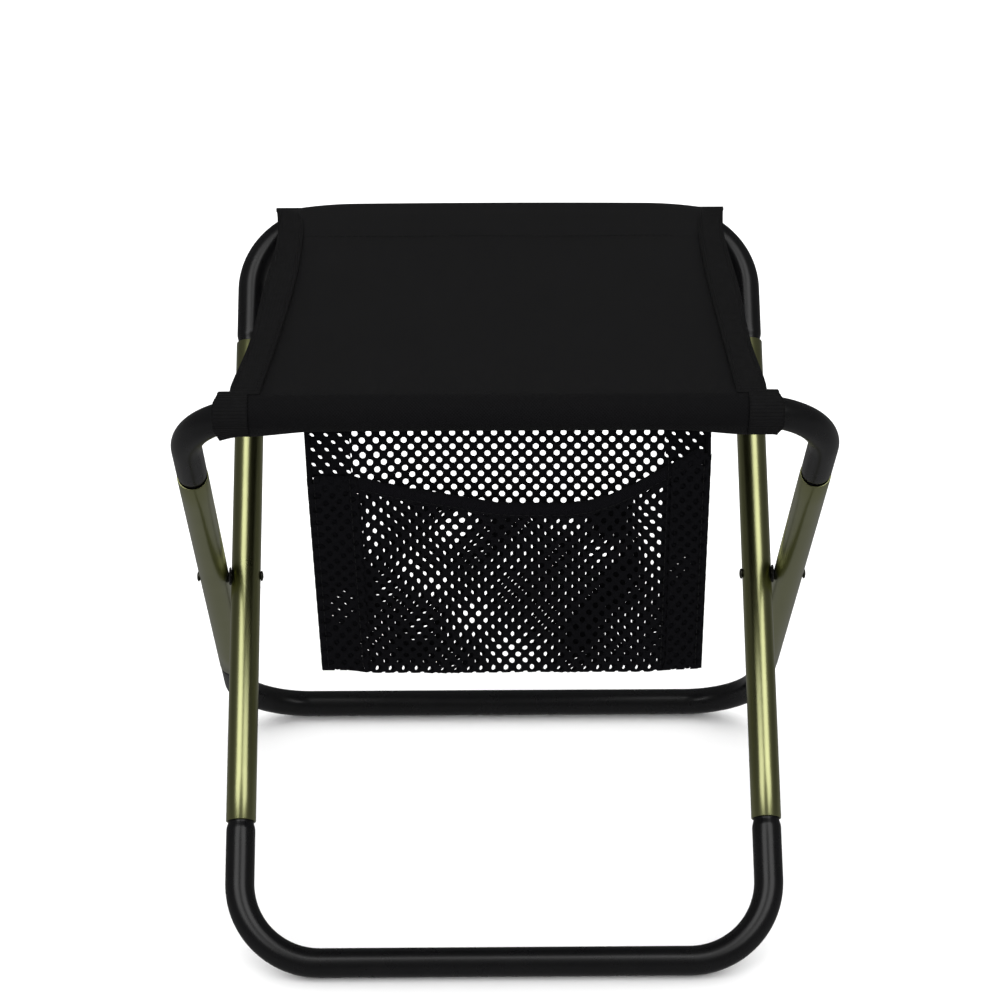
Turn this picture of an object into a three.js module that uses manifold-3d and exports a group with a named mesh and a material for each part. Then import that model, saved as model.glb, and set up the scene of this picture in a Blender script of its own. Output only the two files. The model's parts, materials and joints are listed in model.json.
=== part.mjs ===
// Folding camp stool: two tube hoops crossed like an X and riveted together at the crossing, a fabric
// seat stretched between their top bars, and a net pouch hung under the front bar.
// Millimetres, +Z up. The origin is on the floor, midway between the bars, and -Y is the front.
// The outer hoop holds the front top bar and the rear floor bar, and the inner hoop the other two.

import * as THREE from 'three';
import { mergeVertices } from 'three/addons/utils/BufferGeometryUtils.js';
import Module from 'manifold-3d';

const wasm = await Module();
wasm.setup();

// Frame
const barSpread = 343;          // front bar to rear bar, centre to centre, at the top and on the floor
const topBarHeight = 379.5;     // centre of both top bars
const innerWidth = 351.5;       // over the side tubes of the inner hoop
const outerWidth = 392.5;       // over the side tubes of the outer hoop
const sideTubeRadius = 9.5;
const sideTubeBore = 8.5;
const bendTubeRadius = 9.2;
const bendTubeBore = 7.4;
const bendRadius = 51;          // centre line of the corners
const jointHeight = 90;         // bar centre to the end of the side tube, along the leg
const neckRadius = 8.2;         // drawn-in end of each bend, pushed into the side tube
const neckLength = 25;
const neckTaper = 5;
const cornerSteps = 6;
const tubeSides = 16;
const boreSides = 12;

// Pivot
const rivetRadius = 2.5;
const rivetHoleRadius = 2.8;
const rivetHeadRadius = 4.6;
const rivetHeadHeight = 1.8;
const washerRadius = 7;
const washerThickness = 1;
const fitGap = 0.25;            // between a rivet head and its tube
const sewnGap = 0.3;            // between pieces that are sewn or pressed together

// Seat
const sleeveBore = 9.8;
const clothWall = 1.3;
const clothRadius = sleeveBore + clothWall;
const seatSetback = 6;          // bar centre to the edge of the flat cloth, where the wrap begins
const seatUnderside = topBarHeight + sleeveBore;
const webbingInner = 134.5;
const webbingOuter = 152.5;
const webbingThickness = 2.1;
const frontSleeve = { from: -142.2, to: 142.2, reach: 1 };
const rearSleeve = { from: -134.9, to: 134.9, reach: 6 };
const frontLoop = { from: 142.5, to: 162.5, reach: 9.6 };
const rearLoop = { from: 135.2, to: 151.7, reach: 21.2 };

// Pouch
const pouchTop = 367;
const pouchMouth = 331;         // top of the front net's hem
const pouchFloor = 213;
const pouchTopHalf = 117;       // half its width at the top
const pouchFloorHalf = 111;
const pouchBackY = -167.6;      // outer face of the back net
const pouchFrontY = -181.4;     // outer face of the front net
const netThickness = 1;
const hemHeight = 9;
const hemThickness = 1.4;
const sideHemWidth = 26;

const barRest = bendTubeRadius * Math.cos(Math.PI / tubeSides);   // a flat facet lies on the floor
const tilt = Math.atan2(barSpread, topBarHeight - barRest);
const halfLeg = Math.hypot(barSpread, topBarHeight - barRest) / 2;
const pivotHeight = (topBarHeight + barRest) / 2;

const black = { color: 0x17171a, roughness: 0.38, metalness: 0.3 };
const green = { color: 0x5c6b24, roughness: 0.25, metalness: 0.85 };
const darkSteel = { color: 0x2a2b2a, roughness: 0.35, metalness: 0.9 };
const nylon = { color: 0x101012, roughness: 0.6, metalness: 0 };
const seatCloth = { color: 0x1b1b20, roughness: 0.85, metalness: 0 };
const webbing = { color: 0x131315, roughness: 0.8, metalness: 0 };
const net = { color: 0x14141a, roughness: 0.8, metalness: 0 };

function toSolid(geometry) {
  const bare = geometry.clone();
  bare.deleteAttribute('normal');
  bare.deleteAttribute('uv');
  const merged = mergeVertices(bare, 1e-4);
  return new wasm.Manifold(new wasm.Mesh({
    numProp: 3,
    vertProperties: new Float32Array(merged.attributes.position.array),
    triVerts: new Uint32Array(merged.index.array),
  }));
}

function toGeometry(solid) {
  const mesh = solid.getMesh();
  const geometry = new THREE.BufferGeometry();
  geometry.setAttribute('position', new THREE.BufferAttribute(new Float32Array(mesh.vertProperties), 3));
  geometry.setIndex(new THREE.BufferAttribute(new Uint32Array(mesh.triVerts), 1));
  geometry.computeVertexNormals();
  return geometry;
}

function addPiece(group, name, geometry, finish) {
  const mesh = new THREE.Mesh(geometry, new THREE.MeshStandardMaterial(finish));
  mesh.name = name;
  group.add(mesh);
  return mesh;
}

// A shape drawn in the plane across the hoop, X of the drawing to the rear and Y up the leg,
// pushed out along the hoop's width.
function alongWidth(shape, from, to) {
  const geometry = new THREE.ExtrudeGeometry(shape, {
    depth: to - from, bevelEnabled: false, steps: 1, curveSegments: 8,
  });
  geometry.translate(0, 0, from);
  const turn = new THREE.Matrix4().makeBasis(
    new THREE.Vector3(0, 1, 0), new THREE.Vector3(0, 0, 1), new THREE.Vector3(1, 0, 0));
  return geometry.applyMatrix4(turn);
}

// A lathe laid along X, on the left (-1) or the right (1) of the stool.
function turned(points, segments, side) {
  return new THREE.LatheGeometry(points.map(([r, h]) => new THREE.Vector2(r, h)), segments)
    .rotateZ(-side * Math.PI / 2);
}

function box(x0, x1, y0, y1, z0, z1) {
  return new THREE.BoxGeometry(x1 - x0, y1 - y0, z1 - z0)
    .translate((x0 + x1) / 2, (y0 + y1) / 2, (z0 + z1) / 2);
}

// Centre line of one end of a hoop: down the left leg, round a corner, along the bar and up again.
// The bar lies on z = 0. The steps fall on the corners and not on the straights.
class HoopEnd extends THREE.Curve {
  constructor(halfWidth, legHeight) {
    super();
    this.halfWidth = halfWidth;
    this.legHeight = legHeight;
    this.steps = 2 * cornerSteps + 3;
  }

  getPoint(t) {
    const place = t * this.steps;
    const side = place < this.steps / 2 ? -1 : 1;
    const step = Math.min(place, this.steps - place);
    if (step <= 1) {
      const height = THREE.MathUtils.lerp(this.legHeight, bendRadius, step);
      return new THREE.Vector3(side * this.halfWidth, 0, height);
    }
    if (step <= 1 + cornerSteps) {
      const angle = (step - 1) / cornerSteps * Math.PI / 2;
      const inset = bendRadius * (1 - Math.cos(angle));
      return new THREE.Vector3(side * (this.halfWidth - inset), 0, bendRadius * (1 - Math.sin(angle)));
    }
    const straight = this.halfWidth - bendRadius;
    return new THREE.Vector3(straight * (2 * place - this.steps), 0, 0);
  }

  getUtoTmapping(u) {
    return u;
  }
}

function tubeSection(radius, sides, facetAngle) {
  const points = [];
  for (let i = 0; i < sides; i += 1) {
    const angle = facetAngle + (i + 0.5) * 2 * Math.PI / sides;
    points.push(new THREE.Vector2(radius * Math.cos(angle), radius * Math.sin(angle)));
  }
  return new THREE.Shape(points);
}

function sweep(curve, section) {
  return new THREE.ExtrudeGeometry(section, {
    steps: curve.steps, extrudePath: curve, bevelEnabled: false,
  });
}

// The U-shaped black bend, with its bar on z = 0 and its two necks pointing up.
function hoopBend(halfWidth, facetAngle) {
  const full = new HoopEnd(halfWidth, jointHeight - neckTaper);
  let solid = toSolid(sweep(full, tubeSection(bendTubeRadius, tubeSides, facetAngle)));
  const neck = new THREE.LatheGeometry([
    new THREE.Vector2(0, jointHeight - 2 * neckTaper),
    new THREE.Vector2(neckRadius, jointHeight - 2 * neckTaper),
    new THREE.Vector2(bendTubeRadius, jointHeight - neckTaper),
    new THREE.Vector2(neckRadius, jointHeight),
    new THREE.Vector2(neckRadius, jointHeight + neckLength),
    new THREE.Vector2(0, jointHeight + neckLength),
  ], tubeSides).rotateX(Math.PI / 2);
  for (const side of [-1, 1]) {
    solid = solid.add(toSolid(neck.clone().translate(side * halfWidth, 0, 0)));
  }
  const hollow = new HoopEnd(halfWidth, jointHeight + neckLength + 1);
  return solid.subtract(toSolid(sweep(hollow, tubeSection(bendTubeBore, boreSides, facetAngle))));
}

// A straight side tube along Z, centred on the pivot, with the rivet hole drilled across it.
function sideTube(centreX) {
  const half = halfLeg - jointHeight;
  const tube = new THREE.LatheGeometry([
    new THREE.Vector2(sideTubeBore, -half),
    new THREE.Vector2(sideTubeRadius, -half),
    new THREE.Vector2(sideTubeRadius, half),
    new THREE.Vector2(sideTubeBore, half),
    new THREE.Vector2(sideTubeBore, -half),
  ], 20).rotateX(Math.PI / 2);
  const drill = new THREE.CylinderGeometry(rivetHoleRadius, rivetHoleRadius, 4 * sideTubeRadius, 12)
    .rotateZ(Math.PI / 2);
  return toGeometry(toSolid(tube).subtract(toSolid(drill)).translate([centreX, 0, 0]));
}

// Cloth or webbing wrapped round a top bar. Its lower side reaches down the legs, because the bar
// turns down inside it near the corner.
function wrap({ from, to, reach }) {
  const outline = (path, radius) => path
    .absarc(0, 0, radius, 0, Math.PI, false)
    .absarc(0, -reach, radius, Math.PI, 2 * Math.PI, false);
  const shape = outline(new THREE.Shape(), clothRadius);
  shape.holes.push(outline(new THREE.Path(), sleeveBore));
  return alongWidth(shape, from, to);
}

function buildHoop(name, width, lean) {
  const hoop = new THREE.Group();
  hoop.position.z = pivotHeight;
  hoop.rotation.x = lean;
  const halfWidth = width / 2 - sideTubeRadius;
  const bend = toGeometry(hoopBend(halfWidth, Math.PI / 2 - lean));
  addPiece(hoop, `${name}_bottom_bend`, bend.clone().translate(0, 0, -halfLeg), black);
  addPiece(hoop, `${name}_top_bend`, bend.clone().rotateY(Math.PI).translate(0, 0, halfLeg), black);
  addPiece(hoop, `${name}_tube_left`, sideTube(-halfWidth), green);
  addPiece(hoop, `${name}_tube_right`, sideTube(halfWidth), green);
  return hoop;
}

// The sleeve and the loops keep their top edge level with the bar's straight part.
function addWraps(hoop, name, sleeve, loop) {
  const leftLoop = { ...loop, from: -loop.to, to: -loop.from };
  addPiece(hoop, `${name}_sleeve`, wrap(sleeve), seatCloth).position.z = halfLeg;
  addPiece(hoop, `${name}_loop_left`, wrap(leftLoop), webbing).position.z = halfLeg;
  addPiece(hoop, `${name}_loop_right`, wrap(loop), webbing).position.z = halfLeg;
}

function rivet(side) {
  const innerFace = innerWidth / 2 - 2 * sideTubeRadius - fitGap;
  const outerFace = outerWidth / 2 + fitGap;
  const profile = [
    [0, innerFace - rivetHeadHeight],
    [rivetHeadRadius * 0.65, innerFace - rivetHeadHeight * 0.8],
    [rivetHeadRadius, innerFace - rivetHeadHeight * 0.25],
    [rivetHeadRadius, innerFace],
    [rivetRadius, innerFace],
    [rivetRadius, outerFace],
    [rivetHeadRadius, outerFace],
    [rivetHeadRadius, outerFace + rivetHeadHeight * 0.25],
    [rivetHeadRadius * 0.65, outerFace + rivetHeadHeight * 0.8],
    [0, outerFace + rivetHeadHeight],
  ];
  return turned(profile, 16, side);
}

function washer(side) {
  const middle = (innerWidth + outerWidth) / 4 - sideTubeRadius;
  const profile = [
    [rivetHoleRadius, middle - washerThickness / 2],
    [washerRadius, middle - washerThickness / 2],
    [washerRadius, middle + washerThickness / 2],
    [rivetHoleRadius, middle + washerThickness / 2],
    [rivetHoleRadius, middle - washerThickness / 2],
  ];
  return turned(profile, 20, side);
}

function addSeat(stool) {
  const edge = barSpread / 2 - seatSetback;
  const panelHalf = webbingInner - sewnGap;
  const panel = box(-panelHalf, panelHalf, -edge, edge, seatUnderside, seatUnderside + clothWall);
  addPiece(stool, 'seat_panel', panel, seatCloth);
  const stripTop = seatUnderside + webbingThickness;
  for (const [side, word] of [[-1, 'left'], [1, 'right']]) {
    const [x0, x1] = [side * webbingInner, side * webbingOuter].sort((a, b) => a - b);
    addPiece(stool, `side_webbing_${word}`, box(x0, x1, -edge, edge, seatUnderside, stripTop), webbing);
  }
}

// Half width of the pouch at a height: it narrows evenly towards its floor.
function pouchHalf(z) {
  return THREE.MathUtils.mapLinear(z, pouchFloor, pouchTop, pouchFloorHalf, pouchTopHalf);
}

// An upright panel of the pouch between two heights, its sides following the taper.
function pouchPanel(inset, y0, y1, z0, z1) {
  const low = pouchHalf(z0) - inset;
  const high = pouchHalf(z1) - inset;
  const shape = new THREE.Shape([
    new THREE.Vector2(-low, z0), new THREE.Vector2(low, z0),
    new THREE.Vector2(high, z1), new THREE.Vector2(-high, z1),
  ]);
  return new THREE.ExtrudeGeometry(shape, { depth: y1 - y0, bevelEnabled: false })
    .rotateX(Math.PI / 2)
    .translate(0, y1, 0);
}

// The seam strip down one side: a channel that closes the pouch up to its mouth, and above the mouth
// only the strip that runs up the back net.
function sideHem(side) {
  const x1 = pouchFloorHalf;
  const x0 = pouchFloorHalf - sideHemWidth;
  const outside = [pouchFrontY - hemThickness / 2, pouchBackY + hemThickness / 2];
  const inside = [outside[0] + hemThickness, outside[1] - hemThickness];
  const hollow = box(x0 - 1, x1 - hemThickness, ...inside, pouchFloor - 1, pouchTop + 1);
  const openFront = box(x0 - 1, x1 + 1, outside[0] - 1, inside[1], pouchMouth, pouchTop + 1);
  const channel = toSolid(box(x0, x1, ...outside, pouchFloor, pouchTop))
    .subtract(toSolid(hollow))
    .subtract(toSolid(openFront));
  const slope = (pouchTopHalf - pouchFloorHalf) / (pouchTop - pouchFloor);
  const lean = new THREE.Matrix4().set(
    1, 0, slope, -slope * pouchFloor,
    0, 1, 0, 0,
    0, 0, 1, 0,
    0, 0, 0, 1);
  return mirroredAcross(toGeometry(channel).applyMatrix4(lean), side);
}

// The mirror image in the plane x = 0, with its triangles turned so that they still face outwards.
function mirroredAcross(geometry, side) {
  if (side > 0) return geometry;
  const image = geometry.clone().scale(-1, 1, 1);
  const index = image.index.array;
  for (let i = 0; i < index.length; i += 3) {
    [index[i], index[i + 1]] = [index[i + 1], index[i]];
  }
  image.computeVertexNormals();
  return image;
}

function addPouch(stool) {
  const inset = sideHemWidth + sewnGap;
  const floorTop = pouchFloor + hemThickness;
  const netBottom = floorTop + sewnGap;
  const backPanel = pouchPanel(inset, pouchBackY - netThickness, pouchBackY, netBottom, pouchTop);
  addPiece(stool, 'pouch_back_net', backPanel, net);
  const hemBottom = pouchMouth - hemHeight;
  const frontPanel = pouchPanel(
    inset, pouchFrontY, pouchFrontY + netThickness, netBottom, hemBottom - sewnGap);
  addPiece(stool, 'pouch_front_net', frontPanel, net);
  const hemFace = pouchFrontY - (hemThickness - netThickness) / 2;
  const topHem = pouchPanel(inset, hemFace, hemFace + hemThickness, hemBottom, pouchMouth);
  addPiece(stool, 'pouch_top_hem', topHem, net);
  const floorHalf = pouchFloorHalf - inset;
  const fold = box(-floorHalf, floorHalf, pouchFrontY, pouchBackY, pouchFloor, floorTop);
  addPiece(stool, 'pouch_bottom_fold', fold, net);
  addPiece(stool, 'pouch_side_hem_left', sideHem(-1), net);
  addPiece(stool, 'pouch_side_hem_right', sideHem(1), net);
}

const stool = new THREE.Group();
const outerHoop = buildHoop('outer', outerWidth, tilt);
const innerHoop = buildHoop('inner', innerWidth, -tilt);
stool.add(outerHoop, innerHoop);
addWraps(outerHoop, 'front', frontSleeve, frontLoop);
addWraps(innerHoop, 'rear', rearSleeve, rearLoop);

for (const [side, word] of [[-1, 'left'], [1, 'right']]) {
  addPiece(stool, `pivot_rivet_${word}`, rivet(side), darkSteel).position.z = pivotHeight;
  addPiece(stool, `pivot_washer_${word}`, washer(side), nylon).position.z = pivotHeight;
}
addSeat(stool);
addPouch(stool);

export default stool;
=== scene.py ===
import json
import math

import bpy
import numpy as np
from mathutils import Matrix, Vector


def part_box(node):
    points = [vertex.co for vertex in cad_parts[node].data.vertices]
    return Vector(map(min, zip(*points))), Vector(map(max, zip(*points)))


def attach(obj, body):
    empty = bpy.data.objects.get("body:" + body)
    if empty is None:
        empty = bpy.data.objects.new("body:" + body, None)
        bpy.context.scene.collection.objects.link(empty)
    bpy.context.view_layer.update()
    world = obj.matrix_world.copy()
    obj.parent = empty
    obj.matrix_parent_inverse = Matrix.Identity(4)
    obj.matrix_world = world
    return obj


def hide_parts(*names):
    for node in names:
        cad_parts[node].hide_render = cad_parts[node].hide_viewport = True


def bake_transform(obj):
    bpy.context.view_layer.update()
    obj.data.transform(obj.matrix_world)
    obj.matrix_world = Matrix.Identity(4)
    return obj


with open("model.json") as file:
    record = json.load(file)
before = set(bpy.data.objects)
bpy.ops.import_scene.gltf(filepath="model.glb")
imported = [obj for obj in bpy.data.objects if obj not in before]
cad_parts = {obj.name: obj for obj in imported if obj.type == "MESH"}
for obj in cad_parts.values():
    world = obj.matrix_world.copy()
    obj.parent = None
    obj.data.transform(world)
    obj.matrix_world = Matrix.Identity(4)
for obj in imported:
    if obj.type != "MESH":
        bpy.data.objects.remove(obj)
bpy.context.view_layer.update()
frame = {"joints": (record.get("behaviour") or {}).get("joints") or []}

scene = bpy.context.scene
scene.view_settings.view_transform = "Standard"
outerBody, innerBody = "outer_frame", "inner_frame"


def smooth(value, low, high):
    t = np.clip((np.asarray(value, float) - low) / (high - low), 0, 1)
    return t * t * (3 - 2 * t)


# Node helpers, for shaders and Geometry Nodes alike

class Wire:
    def __init__(self, graph, socket):
        self.graph = graph
        self.socket = socket

    def out(self, name):
        return Wire(self.graph, self.socket.node.outputs[name])

    def reckon(self, operation, *values):
        return self.graph.add("ShaderNodeMath", {"operation": operation}, dict(enumerate(values)))

    def __add__(self, other):
        return self.reckon("ADD", self, other)

    def __sub__(self, other):
        return self.reckon("SUBTRACT", self, other)

    def __rsub__(self, other):
        return self.reckon("SUBTRACT", other, self)

    def __mul__(self, other):
        return self.reckon("MULTIPLY", self, other)

    def __truediv__(self, other):
        return self.reckon("DIVIDE", self, other)

    def __mod__(self, other):
        return self.reckon("FLOORED_MODULO", self, other)

    __radd__ = __add__
    __rmul__ = __mul__

    def sine(self):
        return self.reckon("SINE", self)

    def floor(self):
        return self.reckon("FLOOR", self)


class Graph:
    def __init__(self, tree):
        self.tree = tree

    def plug(self, socket, value):
        if isinstance(value, Wire):
            self.tree.links.new(value.socket, socket)
        else:
            socket.default_value = value

    def add(self, kind, settings=None, inputs=None, output=0):
        node = self.tree.nodes.new(kind)
        for name, value in (settings or {}).items():
            setattr(node, name, value)
        for key, value in (inputs or {}).items():
            self.plug(node.inputs[key], value)
        return Wire(self, node.outputs[output])


# Materials

def newFinish(name, fixed):
    material = bpy.data.materials.new(name)
    material.use_nodes = True
    shader = material.node_tree.nodes["Principled BSDF"]
    for socket, value in fixed.items():
        shader.inputs[socket].default_value = value
    graph = Graph(material.node_tree)
    return material, graph, shader


def clouds(graph, place, scale, detail):
    return graph.add("ShaderNodeTexNoise", {}, {"Vector": place, "Scale": scale, "Detail": detail})


def mixed(graph, share, finish):
    shades = {0: share, 6: finish["dark"], 7: finish["light"]}
    return graph.add("ShaderNodeMix", {"data_type": "RGBA"}, shades, 2)


def dress(graph, shader, colour, roughness, height, finish):
    strength, distance = finish["bump"]
    raised = graph.add("ShaderNodeBump", {}, {"Height": height, "Strength": strength, "Distance": distance})
    graph.plug(shader.inputs["Base Color"], colour)
    graph.plug(shader.inputs["Roughness"], roughness)
    graph.plug(shader.inputs["Normal"], raised)


# Scale and detail of the colour's patches, of the roughness and of the grain, the least roughness and
# how much it varies, and the grain's strength and depth.
blackFinish = {
    "name": "satin black paint", "fixed": {"IOR": 1.5, "Specular IOR Level": 0.4},
    "dark": (0.0026, 0.0026, 0.0030, 1), "light": (0.0044, 0.0044, 0.0050, 1), "patches": (60.0, 3.0),
    "clouds": (90.0, 2.0), "roughness": (0.25, 0.06), "grain": (2600.0, 1.0), "bump": (0.35, 0.00002),
}
greenFinish = {
    "name": "olive metallic lacquer", "fixed": {"Metallic": 1.0, "Coat Weight": 0.7, "Coat Roughness": 0.18},
    "dark": (0.355, 0.368, 0.160, 1), "light": (0.415, 0.428, 0.196, 1), "patches": (45.0, 3.0),
    "clouds": (70.0, 3.0), "roughness": (0.26, 0.05), "grain": (3800.0, 1.0), "bump": (0.25, 0.00001),
}
steelFinish = {
    "name": "dark rivet steel", "fixed": {"Metallic": 1.0},
    "dark": (0.075, 0.075, 0.062, 1), "light": (0.125, 0.125, 0.105, 1), "patches": (700.0, 3.0),
    "clouds": (2400.0, 2.0), "roughness": (0.26, 0.2), "grain": (2400.0, 2.0), "bump": (0.3, 0.00003),
}
nylonFinish = {
    "name": "black nylon", "fixed": {"IOR": 1.53},
    "dark": (0.008, 0.008, 0.009, 1), "light": (0.016, 0.016, 0.017, 1), "patches": (500.0, 3.0),
    "clouds": (1500.0, 2.0), "roughness": (0.45, 0.15), "grain": (1500.0, 2.0), "bump": (0.3, 0.00004),
}
threadFinish = {
    "name": "black sewing thread", "fixed": {"Sheen Weight": 0.01, "Specular IOR Level": 0.15},
    "dark": (0.0018, 0.0018, 0.0022, 1), "light": (0.0052, 0.0051, 0.0058, 1), "patches": (900.0, 3.0),
    "clouds": (3000.0, 2.0), "roughness": (0.5, 0.2), "grain": (3000.0, 2.0), "bump": (0.4, 0.00005),
}


def makeHardFinish(finish):
    material, graph, shader = newFinish(finish["name"], finish["fixed"])
    place = graph.add("ShaderNodeTexCoord", output=3)
    colour = mixed(graph, clouds(graph, place, *finish["patches"]), finish)
    least, spread = finish["roughness"]
    roughness = clouds(graph, place, *finish["clouds"]) * spread + least
    dress(graph, shader, colour, roughness, clouds(graph, place, *finish["grain"]), finish)
    return material


# Where a point lies on the flat cloth, and its two directions.
def flatPlace(graph):
    flat = graph.add("ShaderNodeUVMap", {"uv_map": "flat"})
    parts = graph.add("ShaderNodeSeparateXYZ", {}, {0: flat})
    return flat, parts, parts.out("Y")


weave = {
    "pitch": 0.0019, "threads": 3.0, "threadHeight": 0.18, "slub": (260.0, 3.0), "slubHeight": 0.5,
    "diamondShade": 0.75, "slubShade": 0.35, "roughness": 0.92, "sheen": 0.16, "bump": (0.8, 0.00016),
    "dark": (0.0011, 0.0011, 0.0014, 1), "light": (0.0035, 0.0033, 0.0043, 1),
}


# Diamonds of an oxford weave, with finer threads lying across them.
def makeSeatCloth():
    material, graph, shader = newFinish(
        "black oxford cloth", {"Sheen Weight": 0.012, "Sheen Roughness": 0.45, "Specular IOR Level": 0.12})
    flat, x, y = flatPlace(graph)
    turn = 2 * math.pi / weave["pitch"]
    across, along = x * turn, y * turn
    diamonds = (across.sine() * along.sine()) * 0.5 + 0.5
    threads = ((across + along) * weave["threads"]).sine() * weave["threadHeight"]
    slub = clouds(graph, flat, *weave["slub"])
    shade = diamonds * weave["diamondShade"] + slub * weave["slubShade"]
    dress(graph, shader, mixed(graph, shade, weave), weave["roughness"] - diamonds * weave["sheen"],
          diamonds + threads + slub * weave["slubHeight"], weave)
    return material


ribbing = {
    "pitch": 0.0009, "clouds": (180.0, 3.0), "threadShade": 0.3, "cloudShade": 0.7,
    "roughness": 0.88, "sheen": 0.15, "bump": (0.7, 0.00012),
    "dark": (0.0026, 0.0026, 0.0029, 1), "light": (0.0062, 0.0061, 0.0068, 1),
}


def makeWebbing():
    material, graph, shader = newFinish(
        "black ribbed webbing", {"Sheen Weight": 0.010, "Sheen Roughness": 0.4, "Specular IOR Level": 0.14})
    flat, x, y = flatPlace(graph)
    turn = 2 * math.pi / ribbing["pitch"]
    threads = (x * turn).sine() * (y * turn).sine()
    cloud = clouds(graph, flat, *ribbing["clouds"])
    shade = threads * ribbing["threadShade"] + cloud * ribbing["cloudShade"]
    dress(graph, shader, mixed(graph, shade, ribbing), ribbing["roughness"] - cloud * ribbing["sheen"],
          threads + cloud, ribbing)
    return material


knit = {
    "pitchX": 0.0010, "pitchY": 0.0007, "fuzz": (900.0, 3.0), "loopShade": 0.35, "fuzzShade": 0.7,
    "roughness": 0.9, "sheen": 0.15, "bump": (0.8, 0.00018),
    "dark": (0.0010, 0.0010, 0.0018, 1), "light": (0.0043, 0.0041, 0.0062, 1),
}


# Knitted loops run down the strands of the net.
def makeNetYarn():
    material, graph, shader = newFinish(
        "black knitted net", {"Sheen Weight": 0.006, "Sheen Roughness": 0.4, "Specular IOR Level": 0.08})
    flat, x, y = flatPlace(graph)
    loops = (x * (2 * math.pi / knit["pitchX"])).sine() * (y * (2 * math.pi / knit["pitchY"])).sine()
    fuzz = clouds(graph, flat, *knit["fuzz"])
    shade = loops * knit["loopShade"] + fuzz * knit["fuzzShade"]
    dress(graph, shader, mixed(graph, shade, knit), knit["roughness"] - fuzz * knit["sheen"],
          loops + fuzz, knit)
    return material


floorFinish = {"dark": (0.93, 0.93, 0.93, 1), "light": (0.95, 0.95, 0.95, 1), "patches": (3.0, 3.0)}


def makeFloorPaint():
    material, graph, shader = newFinish("white floor", {"Specular IOR Level": 0.1, "Roughness": 0.9})
    place = graph.add("ShaderNodeTexCoord", output=3)
    graph.plug(shader.inputs["Base Color"],
               mixed(graph, clouds(graph, place, *floorFinish["patches"]), floorFinish))
    return material


blackPaint, greenLacquer, steel, nylon, thread = (
    makeHardFinish(finish) for finish in (blackFinish, greenFinish, steelFinish, nylonFinish, threadFinish))
oxford, ribbed, yarn = makeSeatCloth(), makeWebbing(), makeNetYarn()
print("materials made")


# Mesh helpers

def newPiece(name, points, faces, material, shadeSmooth=True):
    mesh = bpy.data.meshes.new(name)
    mesh.from_pydata([tuple(p) for p in points], [], faces)
    mesh.materials.append(material)
    mesh.shade_smooth() if shadeSmooth else mesh.shade_flat()
    piece = bpy.data.objects.new(name, mesh)
    scene.collection.objects.link(piece)
    return piece


def keepFlatMap(piece, flat):
    layer = piece.data.uv_layers.new(name="flat")
    corners = np.zeros(len(piece.data.loops), np.int32)
    piece.data.loops.foreach_get("vertex_index", corners)
    layer.data.foreach_set("uv", np.asarray(flat, np.float32)[corners].ravel())


def gridFaces(rows, columns, closedAcross=False):
    faces = []
    for row in range(rows - 1):
        for column in range(columns if closedAcross else columns - 1):
            following = (column + 1) % columns
            faces.append((row * columns + column, row * columns + following,
                          (row + 1) * columns + following, (row + 1) * columns + column))
    return faces


# Rings of points joined into a tube. A tube that isn't a ring itself gets a cap at each end.
def ringTube(name, rings, material, joinEnds=False):
    count, sides = rings.shape[0], rings.shape[1]
    faces = gridFaces(count, sides, True)
    if joinEnds:
        last = (count - 1) * sides
        faces += [(last + i, last + (i + 1) % sides, (i + 1) % sides, i) for i in range(sides)]
    else:
        faces += [tuple(range(sides))[::-1], tuple((count - 1) * sides + i for i in range(sides))]
    piece = newPiece(name, rings.reshape(-1, 3), faces, material)
    faceOut(piece)
    return piece


# A closed mesh whose signed volume is negative is inside out, and is turned.
def faceOut(piece):
    piece.data.calc_loop_triangles()
    points = np.array([v.co for v in piece.data.vertices], float)
    corners = np.array([t.vertices[:] for t in piece.data.loop_triangles])
    first, second, third = (points[corners[:, i]] for i in range(3))
    if (first * np.cross(second, third)).sum() < 0:
        piece.data.flip_normals()


def thicken(piece, thickness):
    solid = piece.modifiers.new("thickness", "SOLIDIFY")
    solid.thickness = thickness
    solid.offset = 0.0
    solid.use_even_offset = False


# Geometry Nodes helpers

def newRecipe(name, sizes):
    tree = bpy.data.node_groups.new(name, "GeometryNodeTree")
    tree.interface.new_socket("Geometry", in_out="INPUT", socket_type="NodeSocketGeometry")
    tree.interface.new_socket("Geometry", in_out="OUTPUT", socket_type="NodeSocketGeometry")
    for label, kind in sizes.items():
        tree.interface.new_socket(label, in_out="INPUT", socket_type="NodeSocket" + kind)
    graph = Graph(tree)
    source = tree.nodes.new("NodeGroupInput")
    return graph, {s.name: Wire(graph, s) for s in source.outputs if s.name}


def endRecipe(graph, shape, material):
    whole = graph.add("GeometryNodeRealizeInstances", {}, {0: shape})
    dressed = graph.add("GeometryNodeSetMaterial", {}, {0: whole, "Material": material})
    graph.plug(graph.tree.nodes.new("NodeGroupOutput").inputs[0], dressed)
    return graph.tree


# Runs a recipe on an object and returns what it makes as a plain mesh piece.
def grow(base, recipe, values, name, material):
    modifier = base.modifiers.new("recipe", "NODES")
    modifier.node_group = recipe
    for item in recipe.interface.items_tree:
        if item.in_out == "INPUT" and item.name in values:
            modifier[item.identifier] = values[item.name]
    depsgraph = bpy.context.evaluated_depsgraph_get()
    mesh = bpy.data.meshes.new_from_object(
        base.evaluated_get(depsgraph), preserve_all_data_layers=True, depsgraph=depsgraph)
    base.modifiers.remove(modifier)
    mesh.name = name
    mesh.materials.clear()
    mesh.materials.append(material)
    mesh.shade_smooth()
    piece = bpy.data.objects.new(name, mesh)
    scene.collection.objects.link(piece)
    return piece


def dropHelpers(*helpers):
    for helper in helpers:
        bpy.data.objects.remove(helper)


# Places from the frame

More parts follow.
